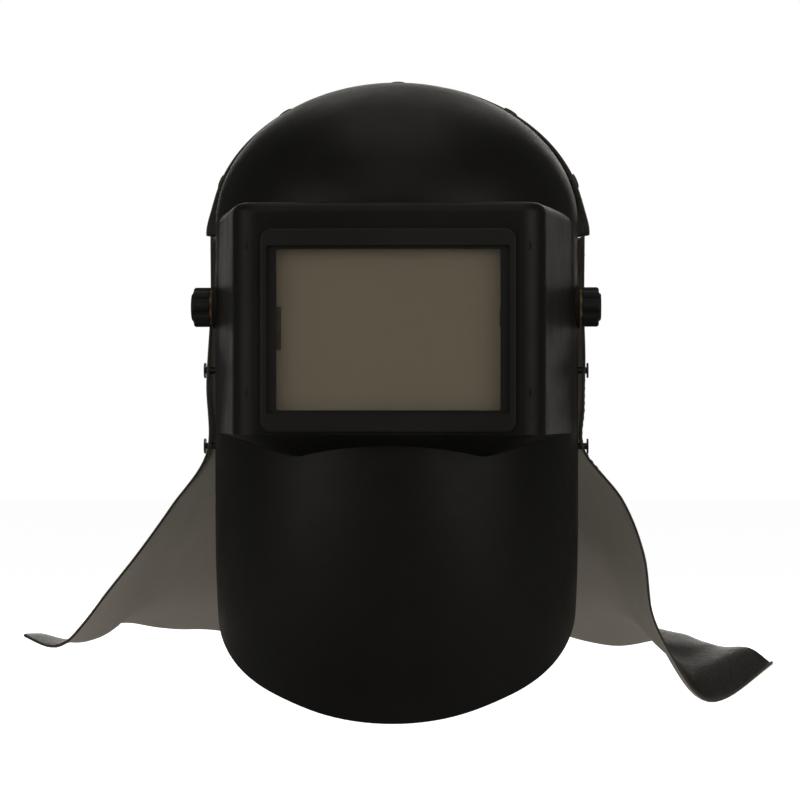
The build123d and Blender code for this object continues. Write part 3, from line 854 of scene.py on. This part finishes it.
@dataclass
class CapeHood:
    """The leather that closes the back of the dome, sewn from three panels."""

    centre: Point = (0.0, 15.0, 50.0)
    half: Point = (113.5, 140.5, 86.8)
    front: float = 26.0
    bottom: float = 45.0
    seam_at: float = 38.0
    thickness: float = 1.5
    corner_lift: float = 3.0
    seam_ridge: float = 0.9
    seam_groove: float = 0.8
    slack: float = 2.4
    creasing: float = 0.8
    fullness: float = 1.2
    puckering: float = 0.35
    arch_rows: tuple[float, float] = (4.0, 18.0)
    ring_rows: tuple[float, float] = (3.5, 9.0)
    beside_seam: float = 3.4
    row_ends_short: float = 3.0
    seam_starts_behind: float = 24.0
    seam_ends_above: float = 6.0
    flat_width: float = 320.0
    flat_length: float = 170.0
    flat_area: float = 0.0404

    def _normal(self, point: Vector) -> Vector:
        """The outward normal of the ellipsoid at a point."""
        offset = point - Vector(self.centre)
        return Vector([part / size**2 for part, size in zip(offset, self.half)]).normalized()

    def _swell(self, point: Vector) -> float:
        """How far the leather stands off the ellipsoid, in millimetres."""
        from_seam = abs(point.x) - self.seam_at
        seam = bell(from_seam, width=3.2) * self.seam_ridge - bell(from_seam, width=0.9) * self.seam_groove
        away = eased(point.y - self.front, start=22.0, length=40.0)
        slack = self.slack * noise.noise(point * 0.021) + self.creasing * noise.noise(point * 0.06)
        puckers = self.puckering * math.sin(point.y * 0.9) * bell(from_seam, width=8.0)
        corner = bell(point.y - self.front, width=18.0) * bell(point.z - self.bottom, width=12.0)
        stretched = max(seam, 0.0) * away + (slack + self.fullness) * away + puckers * away
        return stretched + corner * self.corner_lift

    def on_face(self, point: Vector, raised: float = 0.0) -> tuple[Vector, Vector]:
        """A point of the leather above a point of the ellipsoid.

        Args:
            point: On the ellipsoid.
            raised: How far outside the inner face it is, in millimetres.

        Returns:
            The point and the outward normal.
        """
        normal = self._normal(point)
        return point + normal * (self._swell(point) + raised), normal

    def _on_arch(self, y: float, share: float) -> Vector:
        """A point of the ellipsoid's arch at one Y, from the left foot to the right one."""
        along = (y - self.centre[1]) / self.half[1]
        shrink = math.sqrt(max(1.0 - along**2, 0.0))
        foot = self.bottom + self.row_ends_short - self.centre[2]
        low = math.asin(min(foot / (self.half[2] * shrink), 1.0))
        angle = math.pi - low + (2 * low - math.pi) * share
        return Vector(
            (
                self.half[0] * shrink * math.cos(angle),
                y,
                self.centre[2] + self.half[2] * shrink * math.sin(angle),
            )
        )

    def _on_ring(self, z: float, share: float) -> Vector:
        """A point of the ellipsoid's ring at one Z, from the left front round the back to the right front."""
        shrink = math.sqrt(1.0 - ((z - self.centre[2]) / self.half[2]) ** 2)
        start = math.asin((self.front + self.row_ends_short - self.centre[1]) / (self.half[1] * shrink))
        angle = math.pi - start + (2 * start - math.pi) * share
        return Vector(
            (
                self.half[0] * shrink * math.cos(angle),
                self.centre[1] + self.half[1] * shrink * math.sin(angle),
                z,
            )
        )

    def _on_seam(self, x: float, share: float) -> Vector:
        """A point of a panel seam at one X, from the front edge down to the back of the bottom edge."""
        shrink = math.sqrt(1.0 - (x / self.half[0]) ** 2)
        top = self.front + self.seam_starts_behind - self.centre[1]
        foot = self.bottom + self.seam_ends_above - self.centre[2]
        start = math.acos(top / (self.half[1] * shrink))
        end = math.asin(min(foot / (self.half[2] * shrink), 1.0))
        angle = start + (end - start) * share
        return Vector(
            (
                x,
                self.centre[1] + self.half[1] * shrink * math.cos(angle),
                self.centre[2] + self.half[2] * shrink * math.sin(angle),
            )
        )

    def cut(self) -> bpy.types.Object:
        """Cuts the hood from an ellipsoid.

        Returns:
            The leather, with its thickness.
        """
        mesh = bmesh.new()
        bmesh.ops.create_uvsphere(mesh, u_segments=192, v_segments=110, radius=1.0)
        bmesh.ops.rotate(mesh, verts=mesh.verts, matrix=Matrix.Rotation(math.pi / 2, 3, "X"))
        bmesh.ops.scale(mesh, vec=self.half, verts=mesh.verts)
        bmesh.ops.translate(mesh, vec=self.centre, verts=mesh.verts)
        front_cut = ((0, self.front, 0), (0, 1, 0))
        bottom_cut = ((0, 0, self.bottom), (0, 0, 1))
        for point, normal in (front_cut, bottom_cut):
            everything = mesh.verts[:] + mesh.edges[:] + mesh.faces[:]
            bmesh.ops.bisect_plane(
                mesh, geom=everything, dist=0.001, plane_co=point, plane_no=normal, clear_inner=True
            )
        for vert in mesh.verts:
            vert.co = self.on_face(vert.co.copy())[0]
        return with_leather_faces(finished("leather_hood", mesh), self.thickness)

    def rows_of_stitches(self) -> list[StitchRun]:
        """The rows along the front arch, the bottom edge and the two panel seams."""
        outside = self.thickness
        runs = []
        for y in (self.front + behind for behind in self.arch_rows):
            runs.append(StitchRun(lambda share, y=y: self.on_face(self._on_arch(y, share), outside)))
        for z in (self.bottom + above for above in self.ring_rows):
            runs.append(StitchRun(lambda share, z=z: self.on_face(self._on_ring(z, share), outside)))
        for side in Side:
            for beside in (-self.beside_seam, self.beside_seam):
                x = side.value * self.seam_at + beside
                runs.append(StitchRun(lambda share, x=x: self.on_face(self._on_seam(x, share), outside)))
        return runs


@dataclass
class Cape:
    """The whole neck cape: hood, skirt and thread."""

    finishes: FinishShelf
    hood: CapeHood = field(default_factory=CapeHood)
    skirt: CapeSkirt = field(default_factory=CapeSkirt)

    def build(self) -> None:
        """Makes the leather and the thread, and hangs them on the shell."""
        hood, skirt = self.hood.cut(), self.skirt.cut()
        hood_thread = sewn("hood_thread", self.hood.rows_of_stitches())
        skirt_thread = sewn("skirt_thread", self._skirt_rows())
        leather = ("cape_grain", "cape_suede", "cape_cut_edge")
        for piece in (hood, skirt):
            self.finishes.dress(piece, *leather)
        for piece in (hood_thread, skirt_thread):
            self.finishes.dress(piece, "waxed_thread")
        for piece in (hood, skirt, hood_thread, skirt_thread):
            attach(piece, "shell")
        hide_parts("cape_hood")
        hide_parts("cape_skirt")
        log.info("cape: hood and skirt hung")

    def _skirt_rows(self) -> list[StitchRun]:
        """The row along the skirt's top edge, and one beside each riveted side."""
        skirt, outside = self.skirt, self.skirt.thickness
        top, riveted, beside_edge = skirt.seam_down, 0.36, 0.945
        rows = [StitchRun(lambda share: skirt.on_face(top, -0.98 + 1.96 * share, outside))]
        for side in Side:
            across = side.value * beside_edge
            rows.append(
                StitchRun(lambda share, across=across: skirt.on_face(top + riveted * share, across, outside))
            )
        return rows


# --------------------------------------------------------------------------------------------------------------
# The headgear's soft parts


@dataclass
class BandPath:
    """The tilted oval that the head band follows."""

    centre: Point = (0.0, 9.5, 8.5)
    half_width: float = 80.0
    half_length: float = 103.0
    back: Point = (0.0, 0.929, -0.370)
    up: Point = (0.0, 0.370, 0.929)

    def at(self, angle: float, offset: float, height: float) -> Vector:
        """A point near the band.

        Args:
            angle: From the front of the oval, in radians.
            offset: Outside the band's outer face, in millimetres; negative is inside it.
            height: Above the band's middle.

        Returns:
            The point, in millimetres.
        """
        side, along = math.sin(angle), -math.cos(angle)
        normal = Vector((side / self.half_width, along / self.half_length)).normalized()
        flat = Vector((self.half_width * side, self.half_length * along)) + normal * offset
        sideways = Vector(self.centre) + Vector((flat.x, 0, 0))
        return sideways + Vector(self.back) * flat.y + Vector(self.up) * height


@dataclass
class BandPad:
    """A pad that lines a stretch of the band: a rounded section swept along the oval."""

    name: str
    middle: float
    sweep: float
    inner: float
    outer: float
    height: float
    finish: str
    fullness: float
    body: str
    slot: str
    replaced: str
    channels: tuple[float, ...] = ()
    path: BandPath = field(default_factory=BandPath)
    columns: int = 150
    around: int = 40
    squareness: float = 0.62
    channel_depth: float = 1.3
    channel_width: float = 0.012
    unevenness: float = 0.35
    least_depth: float = 0.35
    end_height: float = 0.82
    end_rise: float = 0.18

    def _section(self, share: float, turn: float) -> tuple[float, float]:
        """The section's offset and height.

        Args:
            share: Along the pad, from -1 to 1.
            turn: Round the section, in radians.

        Returns:
            The offset from the band and the height above its middle, in millimetres.
        """
        taper = (1.0 - abs(share) ** 14) ** 0.5
        across = math.copysign(abs(math.cos(turn)) ** self.squareness, math.cos(turn))
        upright = math.copysign(abs(math.sin(turn)) ** self.squareness, math.sin(turn))
        half_deep = (self.outer - self.inner) / 2
        offset = (self.outer + self.inner) / 2 + half_deep * across * max(taper, self.least_depth)
        height = self.height / 2 * upright * (self.end_height + self.end_rise * taper)
        if across < 0:
            near = (bell(share - channel, self.channel_width) for channel in self.channels)
            pinch = sum(self.channel_depth * hump for hump in near)
            ripple = self.unevenness * noise.noise(Vector((share * 9.0, height * 0.12, 2.0)))
            offset += min(max(pinch * abs(across) + ripple, -0.2), 1.6)
        return offset, height

    def build(self, finishes: FinishShelf) -> bpy.types.Object:
        """Makes the pad.

        Args:
            finishes: The shelf of finishes.

        Returns:
            The pad.
        """
        mesh = bmesh.new()
        bmesh.ops.create_grid(mesh, x_segments=self.columns, y_segments=self.around, size=1.0)
        flat = mesh.loops.layers.uv.new(PAD_MAP)
        reach = (self.path.half_width + self.path.half_length) / 2 * self.sweep
        for face in mesh.faces:
            for loop in face.loops:
                loop[flat].uv = (loop.vert.co.x * reach * MM, loop.vert.co.y * self.height * MM)
        for vert in mesh.verts:
            share, turn = vert.co.x, (vert.co.y + 1.0) * math.pi
            offset, height = self._section(share, turn)
            vert.co = self.path.at(self.middle + share * self.sweep, offset, height)
        bmesh.ops.remove_doubles(mesh, verts=mesh.verts, dist=0.001)
        bmesh.ops.holes_fill(mesh, edges=mesh.edges, sides=0)
        bmesh.ops.recalc_face_normals(mesh, faces=mesh.faces)
        pad = finished(self.name, mesh)
        finishes.dress(pad, self.finish)
        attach(pad, self.body)
        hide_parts(self.replaced)
        log.info("%s lines the band", self.name)
        return pad


@dataclass
class Headgear:
    """The ratchet headgear: pads, sliding tails, and the finishes of its hard parts."""

    finishes: FinishShelf
    nodes: dict[str, bpy.types.Object]
    bend_start: Point = (0.0, 0.0715, -0.0165)
    bend_end: Point = (0.0, 0.0985, -0.0275)

    def build(self) -> None:
        """Makes the soft parts and dresses the rest."""
        BandPad(
            name="sweat_pad",
            middle=0.0,
            sweep=1.22,
            inner=-8.3,
            outer=-2.1,
            height=28.0,
            finish="sweat_leather",
            fullness=0.7,
            body="headgear",
            slot="sweat_leather",
            replaced="sweatband",
            channels=(-0.985, -0.6, 0.0, 0.6, 0.985),
        ).build(self.finishes)
        BandPad(
            name="nape_cushion",
            middle=math.pi,
            sweep=0.46,
            inner=-10.5,
            outer=-4.8,
            height=34.0,
            finish="nape_foam",
            fullness=0.8,
            body="ratchet",
            slot="pad_foam",
            replaced="nape_pad",
            channels=(-0.5, 0.5),
            columns=80,
        ).build(self.finishes)
        for side in Side:
            self._tail(side)
        self._dress_hard_parts()

    def _tail(self, side: Side) -> None:
        """Makes one band tail as a merged copy of the part, and hides the part."""
        node = f"band_tail_{side.label}"
        tail = merged_copy(self.nodes[node], f"sliding_tail_{side.label}")
        self.finishes.dress(tail, "headgear_grey")
        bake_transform(tail)
        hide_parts(node)
        log.info("%s follows the ratchet", tail.name)

    def _dress_hard_parts(self) -> None:
        """Gives each of the headgear's parts its finish."""
        chosen = {
            "headgear_grey": ("head_band", "crown_strap_left", "crown_strap_right", "crown_peg"),
            "knob_black": ("ratchet_base", "ratchet_cover", "ratchet_knob", "click_ring", "ratchet_pinion"),
            "zinc_bright": ("arm_rivets", "crown_pivots", "ratchet_screws", "knob_screw"),
        }
        for finish, names in chosen.items():
            for name in names:
                self.finishes.dress(self.nodes[name], finish)
        log.info("headgear dressed")


@dataclass
class TemplePivots:
    """The pivot arms, studs, washers and tension knobs at the temples."""

    finishes: FinishShelf
    nodes: dict[str, bpy.types.Object]

    def build(self) -> None:
        """Gives each part its finish."""
        chosen = {
            "pivot_arm": "headgear_grey",
            "temple_stud": "zinc_bright",
            "stop_plate": "zinc_bright",
            "inner_washer": "washer_tan",
            "outer_washer": "washer_tan",
            "tension_knob": "knob_black",
            "knob_nut": "brass_turned",
        }
        for side in Side:
            for stem, finish in chosen.items():
                self.finishes.dress(self.nodes[f"{stem}_{side.label}"], finish)
        log.info("temple pivots dressed")


@dataclass
class FaceShell:
    """The moulded shell with its lens box, and the plates in it."""

    finishes: FinishShelf
    nodes: dict[str, bpy.types.Object]

    def build(self) -> None:
        """Gives each part its finish."""
        chosen = {
            "helmet_shell": "shell_black",
            "lens_frame": "bezel_black",
            "cover_plate": "clear_polycarbonate",
            "inner_plate": "clear_polycarbonate",
            "filter_plate": "filter_bronze",
            "lens_gasket": "gasket_black",
            "lens_holder": "holder_black",
            "plate_spring_left": "spring_bronze",
            "plate_spring_right": "spring_bronze",
            "holder_screws": "zinc_bright",
            "crown_rivets": "rivet_black",
            "skirt_rivets": "rivet_black",
        }
        for name, finish in chosen.items():
            self.finishes.dress(self.nodes[name], finish)
        log.info("shell dressed")


# --------------------------------------------------------------------------------------------------------------
# The studio


@dataclass
class Softbox:
    """A square area light aimed at the helmet."""

    name: str
    place: Point
    size: float
    power: float
    target: Point = (0.0, 0.0, -0.05)
    tint: Colour = (1.0, 0.965, 0.9)

    def build(self) -> None:
        """Hangs the light."""
        light = bpy.data.lights.new(self.name, "AREA")
        light.shape = "SQUARE"
        light.size = self.size
        light.energy = self.power
        light.color = self.tint
        lamp = bpy.data.objects.new(self.name, light)
        lamp.location = self.place
        lamp.rotation_euler = (Vector(self.target) - Vector(self.place)).to_track_quat("-Z", "Y").to_euler()
        bpy.context.scene.collection.objects.link(lamp)


@dataclass
class Studio:
    """A white sweep, softboxes and the camera."""

    floor_height: float = -0.36
    floor_size: float = 14.0
    floor_glow: float = 0.95
    floor_bounce: float = 0.55
    surround: float = 0.06
    camera_distance: float = 1.731
    camera_height: float = -0.056
    camera_turn: float = math.radians(2.0)
    lens: float = 129.15
    sideways_shift: float = 0.005
    softboxes: tuple[Softbox, ...] = (
        Softbox("key_left", place=(-1.9, -1.45, 0.2), size=1.8, power=15.0),
        Softbox("key_right", place=(1.9, -1.45, 0.2), size=1.8, power=16.0),
        Softbox("top", place=(0.0, 0.1, 2.0), size=1.6, power=5.0),
        Softbox("front_high", place=(0.0, -1.9, 1.5), size=2.0, power=7.0),
        Softbox("rear_high", place=(0.0, 2.4, 1.3), size=1.8, power=7.0),
        Softbox("rear_low", place=(0.0, 2.6, 0.1), size=1.6, power=24.0),
    )

    def build(self) -> None:
        """Sets up the studio."""
        self._floor()
        self._surround()
        for box in self.softboxes:
            box.build()
        self._camera()
        bpy.context.scene.view_settings.view_transform = "Standard"
        log.info("studio set")

    def _floor(self) -> None:
        """Lays the floor."""
        mesh = bmesh.new()
        bmesh.ops.create_grid(mesh, x_segments=8, y_segments=8, size=self.floor_size / 2 / MM)
        bmesh.ops.translate(mesh, vec=(0, 0, self.floor_height / MM), verts=mesh.verts)
        floor = finished("studio_floor", mesh)
        bench = NodeBench("studio_white")
        bench.set(base_color=(0.5, 0.5, 0.5), roughness=0.9, specular_ior_level=0.1)
        bench.set(emission_color=(1.0, 1.0, 1.0), emission_strength=self.floor_glow)
        nodes = bench.tree.nodes
        bounce = nodes.new("ShaderNodeBsdfDiffuse")
        bounce.inputs["Color"].default_value = (self.floor_bounce, self.floor_bounce, self.floor_bounce, 1.0)
        self._for_the_camera(
            bench.tree, bounce.outputs[0], bench.shader.outputs[0], nodes["Material Output"].inputs["Surface"]
        )
        floor.data.materials.append(bench.material)

    @staticmethod
    def _for_the_camera(
        tree: bpy.types.NodeTree,
        lighting: bpy.types.NodeSocket,
        seen: bpy.types.NodeSocket,
        target: bpy.types.NodeSocket,
    ) -> None:
        """Shows one shader in the picture, and lights the helmet with another.

        Args:
            tree: The node tree of a part of the studio.
            lighting: The shader that lights.
            seen: The shader that is seen.
            target: The tree's output.
        """
        mix = tree.nodes.new("ShaderNodeMixShader")
        tree.links.new(tree.nodes.new("ShaderNodeLightPath").outputs["Is Camera Ray"], mix.inputs[0])
        tree.links.new(lighting, mix.inputs[1])
        tree.links.new(seen, mix.inputs[2])
        tree.links.new(mix.outputs[0], target)

    def _surround(self) -> None:
        """Lights the room: white behind the helmet, and dark in what it reflects."""
        world = bpy.data.worlds.new("studio_room")
        bpy.context.scene.world = world
        world.use_nodes = True
        nodes = world.node_tree.nodes
        seen = nodes["Background"]
        seen.inputs["Color"].default_value = (1.0, 1.0, 1.0, 1.0)
        lighting = nodes.new("ShaderNodeBackground")
        lighting.inputs["Color"].default_value = (1.0, 0.985, 0.96, 1.0)
        lighting.inputs["Strength"].default_value = self.surround
        self._for_the_camera(
            world.node_tree, lighting.outputs[0], seen.outputs[0], nodes["World Output"].inputs["Surface"]
        )

    def _camera(self) -> None:
        """Places the camera, level and a little to the wearer's left."""
        data = bpy.data.cameras.new("studio_camera")
        data.lens = self.lens
        data.shift_x = self.sideways_shift
        camera = bpy.data.objects.new("studio_camera", data)
        away = self.camera_distance
        camera.location = (
            away * math.sin(self.camera_turn),
            -away * math.cos(self.camera_turn),
            self.camera_height,
        )
        camera.rotation_euler = (math.pi / 2, 0.0, self.camera_turn)
        bpy.context.scene.collection.objects.link(camera)
        bpy.context.scene.camera = camera


def main() -> None:
    """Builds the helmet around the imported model."""
    logging.basicConfig(level=logging.INFO, format="%(name)s: %(message)s")
    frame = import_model()
    nodes = frame["nodes"]
    finishes = FinishShelf()
    FaceShell(finishes, nodes).build()
    TemplePivots(finishes, nodes).build()
    Headgear(finishes, nodes).build()
    Cape(finishes).build()
    Studio().build()
    log.info("boxes written")


if __name__ == "__main__":
    main()
